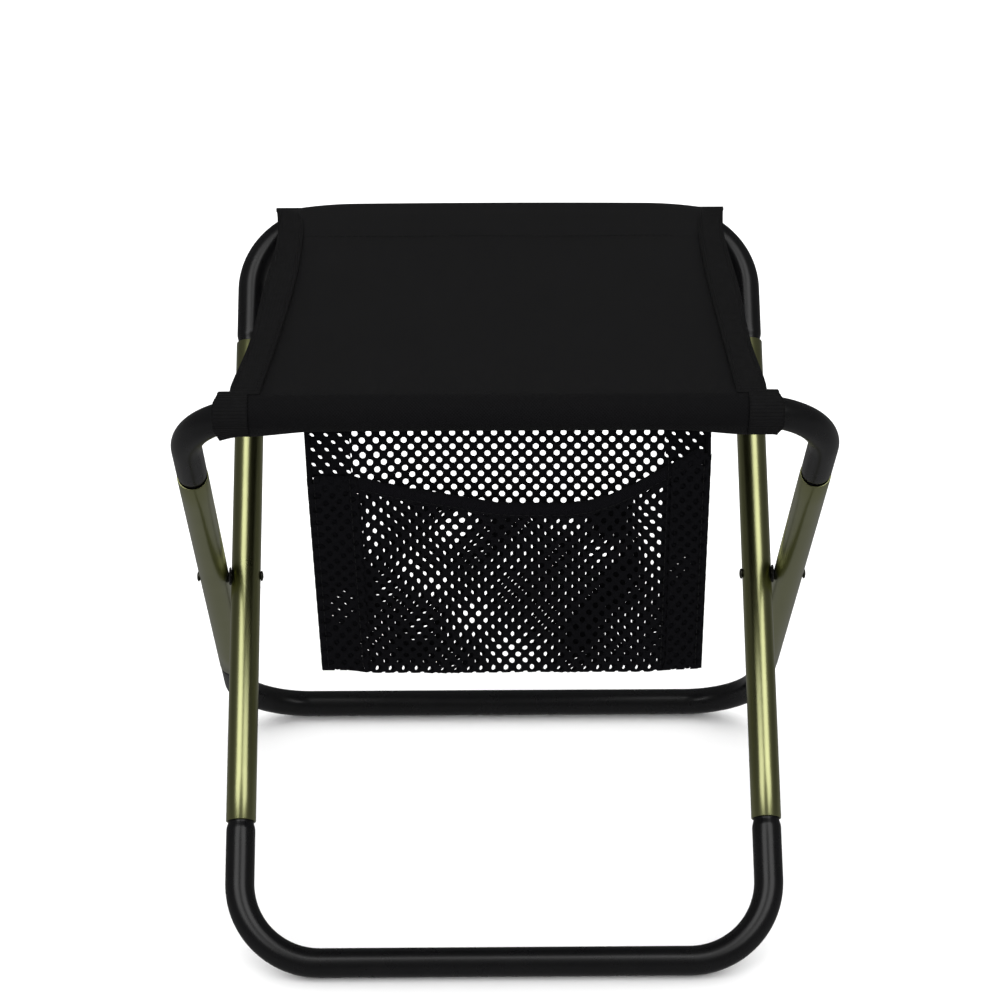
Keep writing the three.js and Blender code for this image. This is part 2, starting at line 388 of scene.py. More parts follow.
tubes = {
    "bendRadius": 0.0092, "sideRadius": 0.0095, "sideBore": 0.0085, "cornerRadius": 0.051,
    "jointHeight": 0.090, "neckRadius": 0.0081, "neckLength": 0.024, "neckTaper": 0.006, "neckStep": 0.004,
    "rimRadius": 0.0003, "sides": 48, "cornerSteps": 30, "cadSides": 16,
}
barRest = tubes["bendRadius"] * math.cos(math.pi / tubes["cadSides"])
pivot = Vector(frame["joints"][0]["pos_m"])


def barCentre(node, front, top):
    low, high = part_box(node)
    y = low.y + barRest if front else high.y - barRest
    z = high.z - barRest if top else low.z + barRest
    return Vector((0, y, z))


bars = {
    "outer_top_bend": barCentre("outer_top_bend", True, True),
    "outer_bottom_bend": barCentre("outer_bottom_bend", False, False),
    "inner_top_bend": barCentre("inner_top_bend", False, True),
    "inner_bottom_bend": barCentre("inner_bottom_bend", True, False),
}
frontBar, rearBar = bars["outer_top_bend"], bars["inner_top_bend"]


def sideTubeCentre(hoop):
    low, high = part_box(hoop + "_tube_right")
    return (low.x + high.x) / 2


hoopHalf = {"outer": sideTubeCentre("outer"), "inner": sideTubeCentre("inner")}


# Tubes

# A U bend: up one leg, round two corners and the bar between them, each leg ending in a drawn-in neck.
def makeBend(node, hoop, name):
    centre, half = bars[node], hoopHalf[hoop]
    up = (pivot - centre).normalized()
    radius, height = tubes["cornerRadius"], tubes["jointHeight"]
    legHeights = [height + tubes["neckLength"], height + tubes["neckStep"]]
    legHeights += list(np.linspace(height, height - tubes["neckTaper"], 9))
    legHeights += [height - 2 * tubes["neckTaper"], radius + 0.01]
    route = [(-half, h) for h in legHeights]
    for angle in np.linspace(0, math.pi / 2, tubes["cornerSteps"]):
        route.append((-half + radius * (1 - math.cos(angle)), radius * (1 - math.sin(angle))))
    route += [(x, 0) for x in np.linspace(-half + radius, 0, 6)[1:]]
    route += [(-x, h) for x, h in route[-2::-1]]
    route = np.array(route)
    tangent = np.gradient(route, axis=0)
    tangent /= np.linalg.norm(tangent, axis=1)[:, None]
    drawnIn = smooth(route[:, 1], height - tubes["neckTaper"], height)
    radii = tubes["bendRadius"] + (tubes["neckRadius"] - tubes["bendRadius"]) * drawnIn
    width, rise = np.array((1.0, 0, 0)), np.array(up)
    third = np.cross(width, rise)
    turn = np.linspace(0, 2 * math.pi, tubes["sides"], endpoint=False)
    middle = np.array(centre) + route[:, :1] * width + route[:, 1:] * rise
    aside = -tangent[:, 1:] * width + tangent[:, :1] * rise
    rings = middle[:, None] + radii[:, None, None] * (
        np.cos(turn)[None, :, None] * aside[:, None] + np.sin(turn)[None, :, None] * third)
    piece = ringTube(name, rings, blackPaint)
    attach(piece, hoop + "_frame")
    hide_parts(node)


# A straight tube whose wall shows at both ends as a thin rounded rim.
def makeSideTube(node, hoop, side, name):
    start, end = bars[hoop + "_bottom_bend"], bars[hoop + "_top_bend"]
    leg = np.array((end - start).normalized())
    half = (end - start).length / 2 - tubes["jointHeight"]
    outer, bore, rim = tubes["sideRadius"], tubes["sideBore"], tubes["rimRadius"]
    profile = [(bore, h) for h in np.linspace(half - rim, -half + rim, 4)]
    profile += [(bore + rim * 0.3, -half + rim * 0.3), (bore + rim, -half), (outer - rim, -half)]
    profile += [(outer - rim * 0.3, -half + rim * 0.3)]
    profile += [(outer, h) for h in np.linspace(-half + rim, half - rim, 12)]
    profile += [(outer - rim * 0.3, half - rim * 0.3), (outer - rim, half), (bore + rim, half)]
    profile += [(bore + rim * 0.3, half - rim * 0.3)]
    turn = np.linspace(0, 2 * math.pi, tubes["sides"], endpoint=False)
    width = np.array((1.0, 0, 0))
    third = np.cross(width, leg)
    middle = np.array((side * hoopHalf[hoop], pivot.y, pivot.z))
    around = np.cos(turn)[:, None] * width + np.sin(turn)[:, None] * third
    rings = np.array([middle + h * leg + r * around for r, h in profile])
    piece = ringTube(name, rings, greenLacquer, joinEnds=True)
    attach(piece, hoop + "_frame")
    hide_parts(node)


for hoop in ("outer", "inner"):
    makeBend(hoop + "_top_bend", hoop, hoop + "TopBend")
    makeBend(hoop + "_bottom_bend", hoop, hoop + "BottomBend")
    makeSideTube(hoop + "_tube_left", hoop, -1, hoop + "TubeLeft")
    makeSideTube(hoop + "_tube_right", hoop, 1, hoop + "TubeRight")
print("tubes made")


# Pivot rivets

rivet = {
    "shank": 0.0025, "head": 0.0034, "brim": 0.0005, "dome": 0.0016, "sides": 32, "inset": 0.0002,
    "washer": 0.0058, "washerBore": 0.0027, "washerEdge": 0.0002,
}


def turned(name, profile, material, joinEnds=False):
    around = np.linspace(0, 2 * math.pi, rivet["sides"], endpoint=False)
    rings = np.array([[(x, r * math.cos(a), r * math.sin(a)) for a in around] for r, x in profile])
    return ringTube(name, rings, material, joinEnds)


# A pin along X with a low domed head on each end.
def makeRivetPattern():
    low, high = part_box("pivot_rivet_right")
    face = (high.x - low.x) / 2 - rivet["dome"] - rivet["inset"]
    end = [(rivet["shank"], face), (rivet["head"], face), (rivet["head"], face + rivet["brim"])]
    for angle in np.linspace(0.25, math.pi / 2 - 0.06, 7):
        end.append((rivet["head"] * math.cos(angle),
                    face + rivet["brim"] + (rivet["dome"] - rivet["brim"]) * math.sin(angle)))
    return turned("rivetPattern", [(r, -x) for r, x in reversed(end)] + end, steel)


def makeWasherPattern():
    low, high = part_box("pivot_washer_right")
    half, edge = (high.x - low.x) / 2, rivet["washerEdge"]
    rim, bore = rivet["washer"], rivet["washerBore"]
    profile = [(bore, half), (bore, -half), (rim - edge, -half), (rim, edge - half), (rim, half - edge),
               (rim - edge, half)]
    return turned("washerPattern", profile, nylon, joinEnds=True)


# The same pattern at the middle of each of two CAD nodes.
def makePivotParts(pattern, nodes, name, material):
    graph, given = newRecipe(name + " set", {"pattern": "Object"})
    shape = graph.add("GeometryNodeObjectInfo", {}, {"Object": given["pattern"]}).out("Geometry")
    placed = graph.add("GeometryNodeInstanceOnPoints", {}, {"Points": given["Geometry"], "Instance": shape})
    recipe = endRecipe(graph, placed, material)
    places = [(sum(c.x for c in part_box(node)) / 2, pivot.y, pivot.z) for node in nodes]
    base = newPiece(name + "Places", places, [], material)
    piece = grow(base, recipe, {"pattern": pattern}, name, material)
    dropHelpers(base, pattern)
    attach(piece, outerBody)
    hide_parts(*nodes)


rivetNodes = ("pivot_rivet_left", "pivot_rivet_right")
washerNodes = ("pivot_washer_left", "pivot_washer_right")
makePivotParts(makeRivetPattern(), rivetNodes, "pivotRivets", steel)
makePivotParts(makeWasherPattern(), washerNodes, "pivotWashers", nylon)
print("rivets made")


# Seat cloth

seat = {
    "radius": 0.01045, "thickness": 0.0009,
    "frontHalf": 0.1432, "rearHalf": 0.1388,
    "seamInset": 0.027, "flapInset": 0.0665, "flapDrop": 0.0012,
    "frontReach": (0.0010, 0.0080), "rearReach": (0.0030, 0.0085),
    "columns": 110, "panelRows": 74,
    "slips": (-0.0046, -0.0014, 0.0011), "slipMiddle": -0.05, "crown": 0.0008, "crownHalf": 0.14,
    "cornerDrop": 1.7, "dropFrom": 0.100, "dropLength": 0.110, "sag": 0.0016, "sagHalf": 0.15,
    "ripple": 0.00022, "wrapSpread": 0.045, "stepLength": 0.010, "edgeInset": 0.0012, "hiddenInset": 0.002,
    "cutHalf": 0.1525,
}
# Side edges of the seat seen from above: place in y, then the outer and inner edge of its webbing.
sideEdges = np.array((
    (-0.1715, 0.1531, 0.1355), (-0.140, 0.1516, 0.1350), (-0.100, 0.1495, 0.1327),
    (-0.065, 0.1484, 0.1314), (-0.015, 0.1484, 0.1303), (0.035, 0.1482, 0.1298),
    (0.075, 0.1466, 0.1294), (0.105, 0.1466, 0.1297), (0.135, 0.1485, 0.1315),
    (0.1715, 0.1512, 0.1345)))
outerEdge = np.polyfit(sideEdges[:, 0], sideEdges[:, 1], 6)
innerEdge = np.polyfit(sideEdges[:, 0], sideEdges[:, 2], 4)
slipCurve = np.polyfit((frontBar.y, seat["slipMiddle"], rearBar.y), seat["slips"], 2)


# The seat has slipped a little to the left along the front bar.
def slip(y):
    return np.polyval(slipCurve, np.clip(y, frontBar.y, rearBar.y))


# Height of the middle of the cloth between the bars. The rear corners are pulled down round the bends.
def clothHeight(x, y):
    x, y = np.asarray(x, float), np.asarray(y, float)
    nearRear = smooth(y, rearBar.y - seat["dropLength"], rearBar.y)
    pulled = seat["cornerDrop"] * np.maximum(np.abs(x) - seat["dropFrom"], 0) ** 2
    crown = seat["crown"] * (1 - (x / seat["crownHalf"]) ** 2)
    span = np.clip((y - frontBar.y) / (rearBar.y - frontBar.y), 0, 1)
    slack = seat["sag"] * np.sin(math.pi * span) * (1 - 0.75 * (x / seat["sagHalf"]) ** 2)
    waves = np.sin(61 * x + 23 * y) + 0.7 * np.sin(37 * x - 48 * y + 1.3)
    ripple = seat["ripple"] * np.sin(math.pi * span) * waves
    return frontBar.z + seat["radius"] + nearRear * (crown - pulled) - slack + ripple


# Cloth wrapped round a bar, in (inward, up) from the bar's centre: flap, seam, bottom, face and top.
# The lower half of the wrap is pushed down the leg by reach, as the bar turns down inside it. How much
# each point shares in that is the third number.
def wrapOutline(radius, reach, seam, flap, drop):
    leg = np.array((rearBar.y - pivot.y, -(rearBar.z - pivot.z)))
    leg /= np.linalg.norm(leg)
    square = math.atan2(leg[1], leg[0]) - math.pi / 2
    meeting = np.array((seam, radius - drop))
    lower = leg * reach
    away = meeting - lower
    leave = math.atan2(away[1], away[0]) - math.acos(radius / np.linalg.norm(away))
    points = [(x, radius - drop, 0) for x in np.linspace(flap, seam, 14)]
    leavePoint = lower + radius * np.array((math.cos(leave), math.sin(leave)))
    points += [(*(meeting + (leavePoint - meeting) * t), t) for t in np.linspace(0, 1, 10)[1:-1]]
    for angle in np.linspace(leave, square, 14):
        points.append((*(lower + radius * np.array((math.cos(angle), math.sin(angle)))), 1))
    for angle in np.linspace(square, -1.5 * math.pi, 26)[1:]:
        points.append((radius * math.cos(angle), radius * math.sin(angle), 0))
    return np.array(points)


def clothRoute(x):
    wraps = []
    sewn = seat["seamInset"], seat["flapInset"], seat["flapDrop"]
    for end in ("front", "rear"):
        (low, high), half = seat[end + "Reach"], seat[end + "Half"]
        reach = low + (high - low) * float(smooth(abs(x), half - seat["wrapSpread"], half))
        wraps.append(wrapOutline(seat["radius"], reach, *sewn))
    front, rear = wraps
    rows = seat["panelRows"]
    panelY = np.linspace(frontBar.y, rearBar.y, rows + 2)[1:-1]
    y = np.concatenate([frontBar.y + front[:, 0], panelY, rearBar.y - rear[::-1, 0]])
    z = np.concatenate([frontBar.z + front[:, 1], np.full(rows, frontBar.z + seat["radius"]),
                        rearBar.z + rear[::-1, 1]])
    flatTop = frontBar.z + seat["radius"]
    share = np.where(z > frontBar.z, smooth(z, frontBar.z, flatTop - 0.002), 0)
    return y, z + share * (clothHeight(x, y) - flatTop), len(front)


def makeSeat():
    spread = np.linspace(-1, 1, seat["columns"])
    _, _, wrapRows = clothRoute(0)
    columns = []
    step = seat["stepLength"]
    for share in spread:
        y, z, _ = clothRoute(share * seat["crownHalf"])
        panelHalf = np.polyval(outerEdge, np.clip(y, -0.165, sideEdges[-1, 0])) - seat["edgeInset"]
        inPanel = smooth(y, frontBar.y, frontBar.y + step) * (1 - smooth(y, rearBar.y - step, rearBar.y))
        rows = np.arange(len(y))
        onTop = (rows >= wrapRows) & (rows < len(y) - wrapRows)
        wrapHalf = np.where(y < 0, seat["frontHalf"], seat["rearHalf"])
        hidden = np.where(y < 0, seat["frontHalf"], seat["rearHalf"] - seat["hiddenInset"])
        halfWidth = np.where(onTop, wrapHalf + (panelHalf - wrapHalf) * inPanel, hidden)
        columns.append(np.stack([share * halfWidth + slip(y), y, z], axis=-1))
    points = np.stack(columns, axis=1)
    rows = points.shape[0]
    steps = np.linalg.norm(np.diff(points[:, seat["columns"] // 2], axis=0), axis=1)
    along = np.concatenate([[0], np.cumsum(steps)])
    flat = np.stack([points[:, :, 0], np.repeat(along[:, None], seat["columns"], axis=1)], axis=-1)
    piece = newPiece("seatCloth", points.reshape(-1, 3), gridFaces(rows, seat["columns"]), oxford)
    keepFlatMap(piece, flat.reshape(-1, 2))
    thicken(piece, seat["thickness"])
    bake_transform(piece)
    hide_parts("seat_panel", "front_sleeve", "rear_sleeve")
    return piece, float(along[-1])


seatCloth, seatLength = makeSeat()
print("seat cloth made, cut length", round(seatLength, 4))


# Webbing

webbing = {
    "thickness": 0.0015, "ribPitch": 0.0020, "ribDepth": 0.00018, "rowsPerRib": 6, "columns": 11,
    "stripWidth": 0.0183, "lift": 0.00125, "endLift": 0.00035, "endLength": 0.009, "loopRadius": 0.01072,
    "seam": 0.020, "flap": 0.030, "flapDrop": 0.0026, "flapShare": 0.6, "tail": 0.0036, "corner": 0.0026,
    "plainDepth": 0.0222, "slack": 0.0020, "ease": 0.0030, "leastReach": 0.8,
    "turnIn": 0.0026, "turnFrom": -0.0092, "turnTo": -0.0010, "stepFrom": 0.004, "stepTo": 0.013,
}


# Ribs push a band in and out along its normals, by the attribute that holds its length.
def makeRibRecipe():
    graph, given = newRecipe("webbing ribs", {"pitch": "Float", "depth": "Float"})
    along = graph.add("GeometryNodeInputNamedAttribute", {"data_type": "FLOAT"}, {"Name": "along"})
    wave = (along * (2 * math.pi) / given["pitch"]).sine() * given["depth"]
    normal = graph.add("GeometryNodeInputNormal")
    offset = graph.add("ShaderNodeVectorMath", {"operation": "SCALE"}, {0: normal, "Scale": wave})
    shaped = graph.add("GeometryNodeSetPosition", {}, {"Geometry": given["Geometry"], "Offset": offset})
    return endRecipe(graph, shaped, ribbed)


ribRecipe = makeRibRecipe()


# A band along a route of (y, z), between two edges in x, with its last corners rounded.
def makeBand(name, route, edgeLow, edgeHigh, roundLast=0.0, settle=None):
    steps = np.linalg.norm(np.diff(route, axis=0), axis=1)
    along = np.concatenate([[0], np.cumsum(steps)])
    rows = int(along[-1] / webbing["ribPitch"] * webbing["rowsPerRib"])
    at = np.linspace(0, along[-1], rows)
    y, z = np.interp(at, along, route[:, 0]), np.interp(at, along, route[:, 1])
    low, high = edgeLow(y), edgeHigh(y)
    inset = np.zeros(rows)
    if roundLast:
        inside = np.clip(1 - (at[-1] - at) / roundLast, 0, 1)
        inset = roundLast * (1 - np.sqrt(1 - inside ** 2))
    low, high = low + inset + slip(y), high - inset + slip(y)
    share = np.linspace(0, 1, webbing["columns"])
    x = low[:, None] + (high - low)[:, None] * share
    everyColumn = [np.repeat(values[:, None], len(share), 1) for values in (y, z, at)]
    points = np.stack([x, *everyColumn[:2]], axis=-1)
    if settle:
        points[:, :, 1:] += settle(x, at, along)
    base = newPiece(name + "Base", points.reshape(-1, 3), gridFaces(rows, len(share)), ribbed)
    mark = base.data.attributes.new("along", "FLOAT", "POINT")
    mark.data.foreach_set("value", np.repeat(at, len(share)).astype(np.float32))
    ribs = {"pitch": webbing["ribPitch"], "depth": webbing["ribDepth"]}
    piece = grow(base, ribRecipe, ribs, name, ribbed)
    dropHelpers(base)
    keepFlatMap(piece, np.stack([x, everyColumn[2]], axis=-1).reshape(-1, 2))
    thicken(piece, webbing["thickness"])
    return piece, float(along[-1])


# The strips lie on the cloth and sink into the loops at their ends.
def stripLift(y):
    clear = smooth(np.minimum(y - frontBar.y, rearBar.y - y), 0, webbing["endLength"])
    return webbing["endLift"] + (webbing["lift"] - webbing["endLift"]) * clear


def makeStrip(side, word):
    y = np.linspace(frontBar.y - 0.0006, rearBar.y + 0.0006, 160)
    middle = side * (np.polyval(outerEdge, y) + np.polyval(innerEdge, y)) / 2
    z = clothHeight(middle, y) + stripLift(y)
    edges = [lambda y: side * np.polyval(innerEdge, y), lambda y: side * np.polyval(outerEdge, y)]
    if side < 0:
        edges.reverse()
    piece, length = makeBand("sideWebbing" + word, np.stack([y, z], axis=-1), *edges)
    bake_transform(piece)
    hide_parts("side_webbing_" + word.lower())


# How far a bend has dropped down the leg, at a place across the stool.
def bendDrop(x, half):
    radius = tubes["cornerRadius"]
    turned = np.clip((np.abs(x) - (half - radius)) / radius, 0, 0.98)
    return radius * (1 - np.sqrt(1 - turned ** 2))


# A loop holds the corner of the seat on its bar. Its edges and its reach are the frame's.
def makeLoop(row, side, word):
    node = row + "_loop_" + word.lower()
    low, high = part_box(node)
    isFront = row == "front"
    bar, inward, hoop = (frontBar, 1, "outer") if isFront else (rearBar, -1, "inner")
    slope = (rearBar - pivot).normalized().z
    reach = (high.z - low.z - webbing["plainDepth"]) / slope - webbing["slack"]
    further = reach * webbing["flapShare"]
    outline = wrapOutline(webbing["loopRadius"], reach, webbing["seam"] + further, webbing["flap"] + further,
                          webbing["flapDrop"])
    tail = [(x, webbing["loopRadius"], 0) for x in np.linspace(0, webbing["tail"], 4)[1:]]
    outline = np.concatenate([outline, tail])
    route = np.stack([bar.y + inward * outline[:, 0], bar.z + outline[:, 1]], axis=-1)
    if not isFront:
        above = smooth(route[:, 1], bar.z, bar.z + webbing["loopRadius"])
        middle = (low.x + high.x) / 2
        route[:, 1] += above * (clothHeight(middle, bar.y) - bar.z - seat["radius"])
    leg = np.array((inward * (rearBar.y - pivot.y), pivot.z - rearBar.z))
    leg /= np.linalg.norm(leg)

    # Each column of the loop reaches down the leg as far as the bend does inside it, or nearly to reach.
    def settle(x, at, along):
        needed = np.maximum(webbing["ease"] + bendDrop(x, hoopHalf[hoop]), webbing["leastReach"] * reach)
        lowShare = np.interp(at, along, outline[:, 2])
        return ((needed - reach) * lowShare[:, None])[:, :, None] * leg

    def inStep(y, loopEdge, stripEdge):
        ahead = (y - bar.y) * inward
        share = smooth(ahead, webbing["stepFrom"], webbing["stepTo"])
        isOuter = abs(loopEdge) > abs(low.x + high.x) / 2
        turnIn = side * webbing["turnIn"] if isOuter and isFront else 0
        tucked = turnIn * smooth(ahead, webbing["turnFrom"], webbing["turnTo"])
        return loopEdge - tucked + (side * np.polyval(stripEdge, y) - loopEdge + tucked) * share

    edges = (innerEdge, outerEdge) if side > 0 else (outerEdge, innerEdge)
    piece, length = makeBand(row + "Loop" + word, route, lambda y: inStep(y, low.x, edges[0]),
                             lambda y: inStep(y, high.x, edges[1]), webbing["corner"], settle)
    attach(piece, hoop + "_frame")
    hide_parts(node)


for side, word in ((-1, "Left"), (1, "Right")):
    makeStrip(side, word)
    makeLoop("front", side, word)
    makeLoop("rear", side, word)
print("webbing made")


# Net pouch

pouch = {
    "top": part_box("pouch_back_net")[1].z + 0.0028, "floor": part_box("pouch_bottom_fold")[0].z,
    "topHalf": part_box("pouch_side_hem_right")[1].x, "floorHalf": 0.1122,
    "topShift": 0.0008, "floorShift": 0.0036, "cornerRise": 0.0034,
    "seamY": -0.1746, "backBulge": 0.0052, "frontBulge": 0.0056, "foldDepth": 0.0015,
    "stripWidth": 0.026, "stripGap": 0.0010, "thickness": 0.0006, "lean": 0.4455,
    "mouthLow": 0.3252, "mouthLowAt": 0.032, "mouthLeftRise": 0.0155, "mouthRightRise": 0.0315,
    "mouthLeftAt": -0.0885, "mouthRightAt": 0.108, "mouthPower": 1.6,
    "pitchAcross": 0.0080, "rowPitch": 0.00425, "holeWide": 0.0034, "holeTall": 0.0036,
    "hemHeight": 0.0095, "hemThickness": 0.0014, "edgeWidth": 0.0030, "edgeThickness": 0.0040,
    "backDrift": (0.0029, 0.0013), "frontDrift": (0.0016, 0.0019), "ropeSides": 10,
    "layerGap": 0.0008, "closed": 0.72, "stripClosed": 0.88, "hangLength": 0.035, "backAhead": 0.0028,
}
# Where the holes of the two layers fall in line: centre x and z, reach across and up, and how far.
openPatches = (
    (-0.0326, 0.3067, 0.012, 0.011, 0.80), (0.0808, 0.3015, 0.010, 0.028, 0.72),
    (0.0343, 0.3080, 0.010, 0.008, 0.62), (0.0500, 0.2916, 0.010, 0.008, 0.68),
    (0.0050, 0.2490, 0.024, 0.026, 0.34), (-0.0645, 0.2818, 0.010, 0.008, 0.36),
    (-0.0440, 0.2687, 0.010, 0.008, 0.38), (-0.0240, 0.2477, 0.011, 0.009, 0.38),
    (-0.0064, 0.2261, 0.013, 0.010, 0.38), (0.0140, 0.2228, 0.018, 0.012, 0.38),
    (-0.0035, 0.2818, 0.022, 0.015, 0.25), (-0.0820, 0.3050, 0.006, 0.020, 0.35),
)


def fromFloorToTop(z, word):
    rise = (np.asarray(z, float) - pouch["floor"]) / (pouch["top"] - pouch["floor"])
    return pouch["floor" + word] + (pouch["top" + word] - pouch["floor" + word]) * rise


def pouchHalf(z):
    return fromFloorToTop(z, "Half")


def pouchShift(z):
    return fromFloorToTop(z, "Shift")


# The sewn corners of the fold sit a little higher than its middle.
def riseToHeight(share, rise):
    inStrip = smooth(np.abs(share) * pouch["floorHalf"], pouch["floorHalf"] - 0.034, pouch["floorHalf"])
    return pouch["floor"] + rise + pouch["cornerRise"] * inStrip * (1 - smooth(rise, 0, 0.1))


# Top edge of the front net: it sags between the side seams, and ends lower on the left.
def mouthHeight(x):
    x = np.asarray(x, float)
    rises = []
    for end in ("Left", "Right"):
        share = np.abs(x - pouch["mouthLowAt"]) / abs(pouch["mouth" + end + "At"] - pouch["mouthLowAt"])
        rises.append(pouch["mouth" + end + "Rise"] * np.clip(share, 0, 1) ** pouch["mouthPower"])
    return pouch["mouthLow"] + np.where(x < pouch["mouthLowAt"], *rises)


# How far the two layers stand apart: nothing at the side seams and the fold, most in the middle.
def apart(x, z):
    half = pouchHalf(z) - pouch["stripWidth"]
    acrossShare = 1 - smooth(np.abs(x), half * 0.45, half)
    return acrossShare * smooth(z, pouch["floor"], pouch["floor"] + 0.06)


def backY(x, z):
    hung = smooth(z, pouch["top"] - pouch["hangLength"], pouch["top"])
    rest = pouch["seamY"] + pouch["layerGap"] + pouch["backBulge"] * apart(x, z)
    wave = 0.0005 * np.sin(58 * x + 31 * z) * smooth(pouch["top"] - z, 0, 0.04)
    return rest + (frontBar.y + pouch["backAhead"] - rest) * hung + wave


def frontY(x, z):
    rest = pouch["seamY"] - pouch["layerGap"] - pouch["frontBulge"] * apart(x, z)
    folds = 0.0013 * np.sin(70 * (x + 0.75 * z) + 0.6) + 0.0010 * np.sin(96 * (x - 0.9 * z) + 2.1)
    return rest + apart(x, z) * folds


# How far the front layer's holes lie from the back layer's, which is what closes or opens the net.
def layerDrift(x, z):
    closed = pouch["closed"] + 0.10 * np.sin(75 * x + 52 * z) + 0.08 * np.sin(131 * x - 97 * z + 1.0)
    for middleX, middleZ, reachX, reachZ, share in openPatches:
        closed -= share * np.exp(-((x - middleX) / reachX) ** 2 - ((z - middleZ) / reachZ) ** 2)
    closed = np.clip(closed, 0.0, 1.0)
    stripEdge = pouchHalf(z) - pouch["stripWidth"]
    inStrip = smooth(np.abs(x), stripEdge - 0.004, stripEdge + 0.002)
    closed = closed * (1 - inStrip) + pouch["stripClosed"] * inStrip
    start = smooth(z, pouch["floor"] - 0.003, pouch["floor"] + 0.008)
    across = pouch["pitchAcross"] / 2 * closed
    up = 0.0010 * np.sin(88 * x + 64 * z + 0.4) + 0.0006 * np.sin(173 * x - 120 * z)
    return across * start, up * start


# One diamond of net with a rounded hole in its middle.
def makeNetTile():
    across, up = pouch["pitchAcross"] / 2, pouch["rowPitch"]
    corners = np.array([(across, 0), (0, up), (-across, 0), (0, -up)])
    rim, hole = [], []
    for i in range(4):
        for t in (0, 1 / 3, 2 / 3):
            rim.append(corners[i] + (corners[(i + 1) % 4] - corners[i]) * t)
    for point in rim:
        angle = math.atan2(point[1], point[0])
        squareness = (abs(math.cos(angle)) ** 2.5 + abs(math.sin(angle)) ** 2.5) ** (-1 / 2.5)
        hole.append((pouch["holeWide"] / 2 * math.cos(angle) * squareness,
                     pouch["holeTall"] / 2 * math.sin(angle) * squareness))
    points = [(x, y, 0) for x, y in rim] + [(x, y, 0) for x, y in hole]
    faces = [(i, (i + 1) % 12, 12 + (i + 1) % 12, 12 + i) for i in range(12)]
    return newPiece("netTile", points, faces, yarn)


# Rows of tiles, every second row set half a tile along, joined into one flat net.
def makeNetRecipe():
    graph, given = newRecipe("netting", {
        "tile": "Object", "columns": "Int", "rows": "Int", "firstColumn": "Int", "firstRow": "Int",
        "pitchAcross": "Float", "rowPitch": "Float"})
    index = graph.add("GeometryNodeInputIndex")
    line = (index / given["columns"] + 0.0001).floor()
    row = line + given["firstRow"]
    column = index - line * given["columns"] + given["firstColumn"]
    x = (column + (row % 2) * 0.5) * given["pitchAcross"]
    place = graph.add("ShaderNodeCombineXYZ", {}, {0: x, 1: row * given["rowPitch"]})
    count = given["columns"] * given["rows"]
    points = graph.add("GeometryNodePoints", {}, {"Count": count, "Position": place})
    tile = graph.add("GeometryNodeObjectInfo", {}, {"Object": given["tile"]}).out("Geometry")
    placed = graph.add("GeometryNodeInstanceOnPoints", {}, {"Points": points, "Instance": tile})
    whole = graph.add("GeometryNodeRealizeInstances", {}, {0: placed})
    joined = graph.add("GeometryNodeMergeByDistance", {}, {"Geometry": whole, "Distance": 0.00003})
    return endRecipe(graph, joined, yarn)


netRecipe, netTile = makeNetRecipe(), makeNetTile()


# A flat net that covers a rectangle. Its holes keep step with every other net's.
def flatNet(name, left, right, low, high):
    base = newPiece("netBase", [(0, 0, 0)], [], yarn)
    firstColumn = math.floor(left / pouch["pitchAcross"]) - 1
    firstRow = math.floor(low / pouch["rowPitch"]) - 1
    piece = grow(base, netRecipe, {
        "tile": netTile, "firstColumn": firstColumn, "firstRow": firstRow,
        "columns": math.ceil(right / pouch["pitchAcross"]) + 1 - firstColumn,
        "rows": math.ceil(high / pouch["rowPitch"]) + 2 - firstRow,
        "pitchAcross": pouch["pitchAcross"], "rowPitch": pouch["rowPitch"]}, name, yarn)
    dropHelpers(base)
    return piece, np.array([v.co for v in piece.data.vertices], float)[:, :2]


# Moves a flat net's points to their places, cuts off what isn't wanted, and gives the net its thickness.
# What is left of the net's own area comes back.
def layNet(piece, flat, points, wanted):
    faces = np.array([f.vertices[:] for f in piece.data.polygons])
    kept = faces[wanted[faces].any(axis=1)]
    clipped = flat[kept]
    x, y = clipped[:, :, 0], clipped[:, :, 1]
    areas = np.abs((x * (np.roll(y, -1, 1) - np.roll(y, 1, 1))).sum(axis=1)) / 2
    kept = kept[areas > 1e-9]
    used, renumbered = np.unique(kept, return_inverse=True)
    mesh = bpy.data.meshes.new(piece.name)
    mesh.from_pydata(points[used].tolist(), [], renumbered.reshape(kept.shape).tolist())
    mesh.materials.append(yarn)
    mesh.shade_smooth()
    old = piece.data
    piece.data = mesh
    bpy.data.meshes.remove(old)
    keepFlatMap(piece, flat[used])
    thicken(piece, pouch["thickness"])
    return float(areas.sum())


# The net is left out of reflections, so that both softboxes show in the tubes behind it.
def dressNet(piece, nodes):
    piece.visible_glossy = False
    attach(piece, outerBody)
    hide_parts(*nodes)


# Where a point of the back layer goes: x as a share of the half width, and the height over the fold.
def onBack(share, rise):
    z = riseToHeight(share, rise)
    half = pouchHalf(z)
    return share * half, z, backY(share * half, z)


# The front layer is the same net, drifted, and hung higher as it stands further off.
def onFront(share, rise):
    z = riseToHeight(share, rise)
    driftX, driftZ = layerDrift(share * pouchHalf(z), z)
    gap = np.maximum(backY(share * pouchHalf(z), z) - frontY(share * pouchHalf(z), z), 0)
    z = z + driftZ + pouch["lean"] * gap * smooth(rise, 0, 0.008)
    half = pouchHalf(z)
    edge = 1 - smooth(np.abs(share), 0.965, 1.0)
    x = np.clip(share * half + driftX * edge, -half, half)
    return x, z, frontY(x, z)


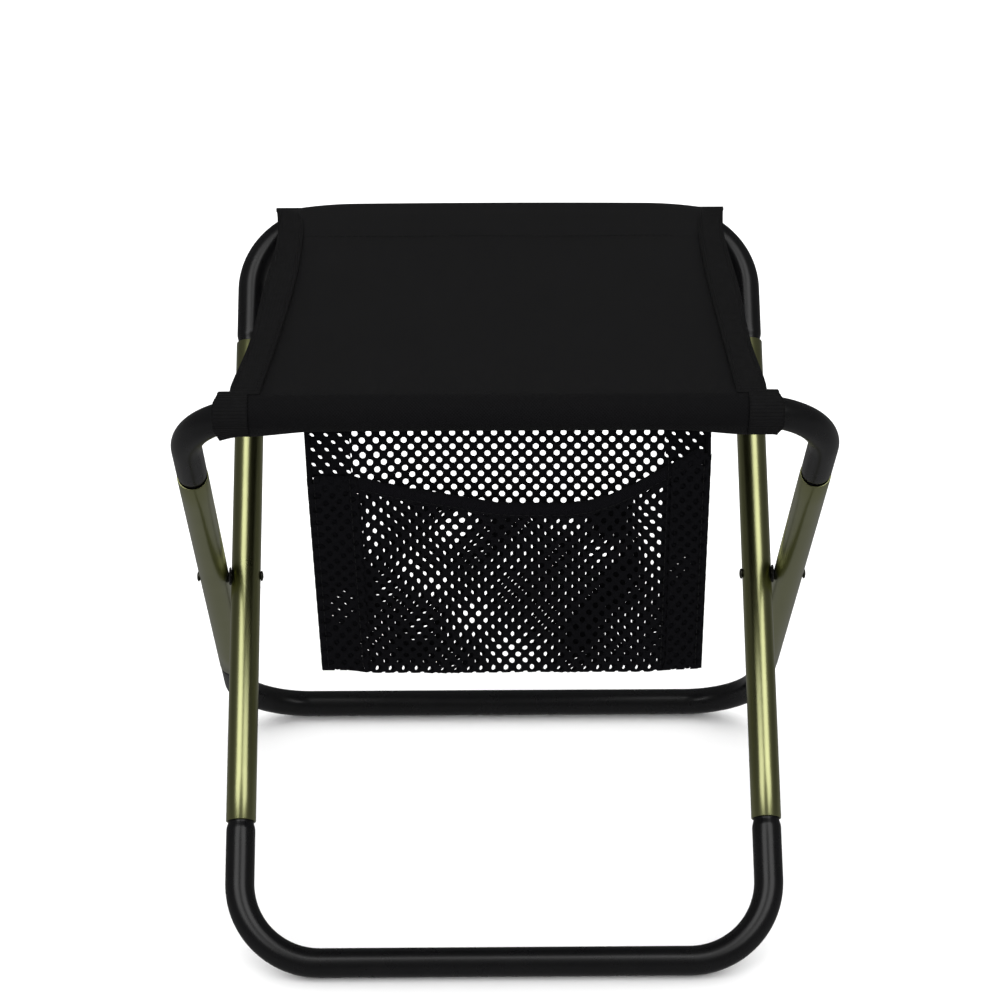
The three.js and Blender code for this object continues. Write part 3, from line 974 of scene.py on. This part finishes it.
# The back layer hangs from the sleeve to the fold, and the front layer comes up again to the mouth.
def makePouchNet():
    half, drop = pouch["topHalf"], pouch["top"] - pouch["floor"]
    highest = float(mouthHeight(0.12)) - pouch["floor"]
    piece, flat = flatNet("pouchNet", -half, half, -drop, highest)
    flat[:, 0] = np.clip(flat[:, 0], -half, half)
    flat[:, 1] = np.clip(flat[:, 1], -drop, highest)
    share, rise = flat[:, 0] / half, np.abs(flat[:, 1])
    softRise = np.sqrt(rise ** 2 + pouch["foldDepth"] ** 2) - pouch["foldDepth"] * 0.6
    backX, backZ, backDepth = onBack(share, softRise)
    frontX, frontZ, frontDepth = onFront(share, softRise)
    ahead = flat[:, 1] > 0
    x, z = np.where(ahead, frontX, backX), np.where(ahead, frontZ, backZ)
    turn = smooth(flat[:, 1], -0.004, 0.004)
    y = backDepth + (frontDepth - backDepth) * turn
    wanted = ~ahead | (z < mouthHeight(x) - 0.0035)
    area = layNet(piece, flat, np.stack([x + pouchShift(z), y, z], axis=-1), wanted)
    nodes = ["pouch_back_net", "pouch_front_net", "pouch_bottom_fold"]
    dressNet(piece, nodes)


# A second layer down each side of the pouch, set off so that its strands cross the other layer's holes.
def makeSideStrip(side, word):
    half, width = pouch["topHalf"], pouch["stripWidth"]
    layers = {
        "Back": (pouch["backDrift"], -1, onBack, pouch["top"]),
        "Front": (pouch["frontDrift"], 1, onFront, float(mouthHeight(side * 0.1))),
    }
    for layer, (drift, away, place, top) in layers.items():
        tall = top - pouch["floor"]
        left, right = (half - width, half) if side > 0 else (-half, width - half)
        spare = pouch["pitchAcross"]
        piece, flat = flatNet("sideStrip" + layer + word, left - spare, right + spare, -spare, tall)
        flat = flat + np.array(drift)
        flat[:, 0] = np.clip(flat[:, 0], left, right)
        flat[:, 1] = np.clip(flat[:, 1], 0.0012, tall)
        share = flat[:, 0] / half
        x, z, y = place(share, flat[:, 1])
        y = y - away * pouch["stripGap"]
        wanted = np.ones(len(x), bool) if layer == "Back" else z < mouthHeight(x) - 0.002
        area = layNet(piece, flat, np.stack([x + pouchShift(z), y, z], axis=-1), wanted)
        nodes = ["pouch_side_hem_" + word.lower()] if layer == "Back" else []
        dressNet(piece, nodes)


# The folded outer edge of the pouch, a flattened rope down one side.
def makeSideEdge(side, word):
    z = np.linspace(pouch["top"] - 0.0008, pouch["floor"] + pouch["cornerRise"], 60)
    x = side * (pouchHalf(z) - pouch["edgeWidth"] / 2)
    y = (backY(x, z) + frontY(x, z)) / 2
    above = smooth(z, mouthHeight(side * 0.11) - 0.004, mouthHeight(side * 0.11) + 0.006)
    y = y * (1 - above) + backY(x, z) * above
    route = np.stack([x + pouchShift(z), y, z], axis=-1)
    tangent = np.gradient(route, axis=0)
    tangent /= np.linalg.norm(tangent, axis=1)[:, None]
    depthways = np.array([0, 1.0, 0])
    aside = np.cross(tangent, depthways)
    aside /= np.linalg.norm(aside, axis=1)[:, None]
    sides = pouch["ropeSides"]
    turn = np.linspace(0, 2 * math.pi, sides, endpoint=False)
    across = (pouch["edgeWidth"] / 2 * np.cos(turn))[None, :, None] * aside[:, None]
    deep = (pouch["edgeThickness"] / 2 * np.sin(turn))[None, :, None] * depthways
    piece = ringTube("sideEdge" + word, route[:, None] + across + deep, yarn)
    around = np.tile(np.linspace(0, 0.01, sides), len(z))
    keepFlatMap(piece, np.stack([around, np.repeat(z, sides)], axis=-1))
    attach(piece, outerBody)
    return piece


# The hem along the mouth, a folded band gathered into fine ridges.
def makeMouthHem():
    x = np.linspace(-pouchHalf(mouthHeight(-0.11)) + 0.004, pouchHalf(mouthHeight(0.11)) - 0.004, 700)
    top = mouthHeight(x) + 0.00035 * np.sin(x * 2 * math.pi / 0.0093) * np.sin(x * 2 * math.pi / 0.0310)
    profile = [(0.0, 1.0), (0.35, 0.93), (0.5, 0.75), (0.5, 0.2), (0.35, 0.04), (0.0, 0.0),
               (-0.35, 0.04), (-0.5, 0.2), (-0.5, 0.75), (-0.35, 0.93)]
    ridge = 1 + 0.10 * np.sin(x * 2 * math.pi / 0.0023)
    rings = []
    for i, place in enumerate(x):
        middleY = float(frontY(place, top[i] - 0.004))
        rings.append([(place + float(pouchShift(top[i])), middleY - depth * pouch["hemThickness"] * ridge[i],
                       top[i] + 0.0005 - (1 - rise) * pouch["hemHeight"]) for depth, rise in profile])
    piece = ringTube("pouchMouthHem", np.array(rings), yarn)
    around = np.tile(np.linspace(0, 0.02, len(profile)), len(x))
    keepFlatMap(piece, np.stack([np.repeat(x, len(profile)), around], axis=-1))
    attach(piece, outerBody)
    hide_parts("pouch_top_hem")
    return piece


pouchTrim = [makeMouthHem()]
for side, word in ((-1, "Left"), (1, "Right")):
    makeSideStrip(side, word)
    pouchTrim.append(makeSideEdge(side, word))
print("pouch sides made")


# Stitches

stitch = {"length": 0.0030, "gap": 0.0011, "wide": 0.00055, "sides": 6}


def makeStitchPattern():
    rings = []
    for place, size in ((-0.5, 0.25), (-0.38, 0.85), (0, 1.0), (0.38, 0.85), (0.5, 0.25)):
        turn = np.linspace(0, 2 * math.pi, stitch["sides"], endpoint=False)
        radius = stitch["wide"] / 2 * size
        rings.append([(radius * math.cos(a), radius * math.sin(a), place * stitch["length"]) for a in turn])
    return ringTube("stitchPattern", np.array(rings), thread)


# One stitch at each step along the sewing lines, laid in their direction.
def makeStitchRecipe():
    graph, given = newRecipe("sewing", {"pattern": "Object", "step": "Float"})
    line = graph.add("GeometryNodeMeshToCurve", {}, {0: given["Geometry"]})
    spaced = graph.add("GeometryNodeResampleCurve", {"mode": "LENGTH"},
                       {"Curve": line, "Length": given["step"]})
    tangent = graph.add("GeometryNodeInputTangent")
    turned = graph.add("FunctionNodeAlignRotationToVector", {"axis": "Z"}, {"Vector": tangent})
    pattern = graph.add("GeometryNodeObjectInfo", {}, {"Object": given["pattern"]}).out("Geometry")
    placed = graph.add("GeometryNodeInstanceOnPoints", {}, {
        "Points": spaced, "Instance": pattern, "Rotation": turned})
    return endRecipe(graph, placed, thread)


stitchRecipe, stitchPattern = makeStitchRecipe(), makeStitchPattern()


def sew(name, lines):
    points, edges = [], []
    for line in lines:
        first = len(points)
        points += [tuple(p) for p in line]
        edges += [(first + i, first + i + 1) for i in range(len(line) - 1)]
    mesh = bpy.data.meshes.new(name + "Lines")
    mesh.from_pydata(points, edges, [])
    base = bpy.data.objects.new(name + "Lines", mesh)
    scene.collection.objects.link(base)
    piece = grow(base, stitchRecipe, {"pattern": stitchPattern, "step": stitch["length"] + stitch["gap"]},
                 name, thread)
    dropHelpers(base)
    return piece


def seatLines():
    lines = []
    proud = seat["thickness"] / 2 + 0.0001
    for side in (-1, 1):
        y = np.linspace(frontBar.y + 0.004, rearBar.y - 0.004, 60)
        for edge, inset in ((innerEdge, 0.0022), (outerEdge, -0.0022)):
            x = side * (np.polyval(edge, y) + inset) + slip(y)
            middle = side * (np.polyval(outerEdge, y) + np.polyval(innerEdge, y)) / 2
            z = clothHeight(middle, y) + stripLift(y) + webbing["thickness"] / 2 + 0.0001
            lines.append(np.stack([x, y, z], axis=-1))
    for y, away in ((frontBar.y + seat["seamInset"], -1), (frontBar.y + seat["flapInset"] - 0.002, -1),
                    (rearBar.y - seat["seamInset"], -1), (rearBar.y - seat["flapInset"] + 0.002, 1)):
        half = float(np.polyval(innerEdge, y)) - 0.001
        x = np.linspace(-half, half, 60) + slip(y)
        drop = seat["flapDrop"] + seat["sag"] if away < 0 else 0
        lines.append(np.stack([x, np.full(60, y), clothHeight(x, y) + away * proud - drop], axis=-1))
    return lines


def pouchLines():
    lines = []
    for side in (-1, 1):
        mouth = float(mouthHeight(side * 0.1))
        for inset in (0.0040, pouch["stripWidth"] - 0.0015):
            z = np.linspace(pouch["floor"] + pouch["cornerRise"] + 0.004, mouth - 0.002, 40)
            x = side * (pouchHalf(z) - inset)
            lines.append(np.stack([x + pouchShift(z), frontY(x, z) - pouch["stripGap"] - 0.0005, z], axis=-1))
    x = np.linspace(-0.105, 0.107, 90)
    z = mouthHeight(x) + 0.0005 - pouch["hemHeight"] * 0.82
    y = frontY(x, mouthHeight(x) - 0.004) - pouch["hemThickness"] * 0.55
    lines.append(np.stack([x + pouchShift(z), y, z], axis=-1))
    return lines


seatStitches = sew("seatStitches", seatLines())
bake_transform(seatStitches)
pouchStitches = sew("pouchStitches", pouchLines())
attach(pouchStitches, outerBody)
makePouchNet()
dropHelpers(stitchPattern, netTile)
print("stitches and net made")


# Floor, light and camera

stageSet = {
    "floorHalf": 20.0, "floorDrop": 0.0002, "aim": (0, -0.1, 0.2), "distance": 4.0,
    "skyDiffuse": 1.62, "skyBehind": 0.10, "skyLow": 0.18, "skyHigh": 0.085,
}
softboxes = (
    {"name": "leftBox", "from": (-0.385, -0.489, 0.782), "size": (2.2, 3.0), "energy": 48.0},
    {"name": "rightBox", "from": (0.385, -0.489, 0.782), "size": (2.2, 3.0), "energy": 48.0},
)


def makeFloor():
    half, z = stageSet["floorHalf"], -stageSet["floorDrop"]
    floor = newPiece("floor", [(-half, -half, z), (half, -half, z), (half, half, z), (-half, half, z)],
                     [(0, 1, 2, 3)], makeFloorPaint(), shadeSmooth=False)
    floor.visible_glossy = False


# The sky is white to look at, even for soft light, and dim in reflections.
def makeSky():
    world = bpy.data.worlds.new("studio")
    scene.world = world
    world.use_nodes = True
    world.cycles.sampling_method = "NONE"
    graph = Graph(world.node_tree)
    ray = graph.add("ShaderNodeLightPath")
    direction = graph.add("ShaderNodeTexCoord")
    parts = graph.add("ShaderNodeSeparateXYZ", {}, {0: direction})
    height, behind = parts.out("Z"), parts.out("Y")
    lowShare = graph.add("ShaderNodeMapRange", {"clamp": True}, {0: height, 1: 0.1, 2: -0.3, 3: 0.0, 4: 1.0})
    mirrored = lowShare * (stageSet["skyLow"] - stageSet["skyHigh"]) + stageSet["skyHigh"]
    seen, glossy = ray.out("Is Camera Ray"), ray.out("Is Glossy Ray")
    soft = (1 - seen) * (1 - glossy)
    around = (behind * stageSet["skyBehind"] + 1) * stageSet["skyDiffuse"]
    strength = seen + glossy * mirrored + soft * around
    background = world.node_tree.nodes["Background"]
    background.inputs["Color"].default_value = (1, 1, 1, 1)
    graph.plug(background.inputs["Strength"], strength)


def makeSoftbox(box):
    light = bpy.data.lights.new(box["name"], "AREA")
    light.shape = "RECTANGLE"
    light.size, light.size_y = box["size"]
    light.energy = box["energy"]
    lamp = bpy.data.objects.new(box["name"], light)
    aim, away = Vector(stageSet["aim"]), Vector(box["from"]).normalized()
    lamp.location = aim + away * stageSet["distance"]
    lamp.rotation_euler = away.to_track_quat("Z", "Y").to_euler()
    lamp.visible_camera = False
    lamp.visible_diffuse = False
    scene.collection.objects.link(lamp)


view = {
    "place": (-0.02532, -1.69037, 1.0003), "pitch": 24.001, "yaw": -0.819, "roll": 0.066, "lens": 103.502,
}


def makeCamera():
    data = bpy.data.cameras.new("camera")
    data.sensor_width, data.lens = 36.0, view["lens"]
    camera = bpy.data.objects.new("camera", data)
    pitch, yaw, roll = (math.radians(view[k]) for k in ("pitch", "yaw", "roll"))
    level = Matrix.Rotation(yaw, 3, "Z")
    forward = level @ Vector((0, math.cos(pitch), -math.sin(pitch)))
    above = level @ Vector((0, math.sin(pitch), math.cos(pitch)))
    right = level @ Vector((1, 0, 0))
    turnedRight = math.cos(roll) * right + math.sin(roll) * above
    turnedUp = -math.sin(roll) * right + math.cos(roll) * above
    camera.matrix_world = Matrix.Translation(view["place"]) @ Matrix(
        (turnedRight, turnedUp, -forward)).transposed().to_4x4()
    scene.collection.objects.link(camera)
    scene.camera = camera


makeFloor()
makeSky()
for box in softboxes:
    makeSoftbox(box)
makeCamera()
print("studio made")
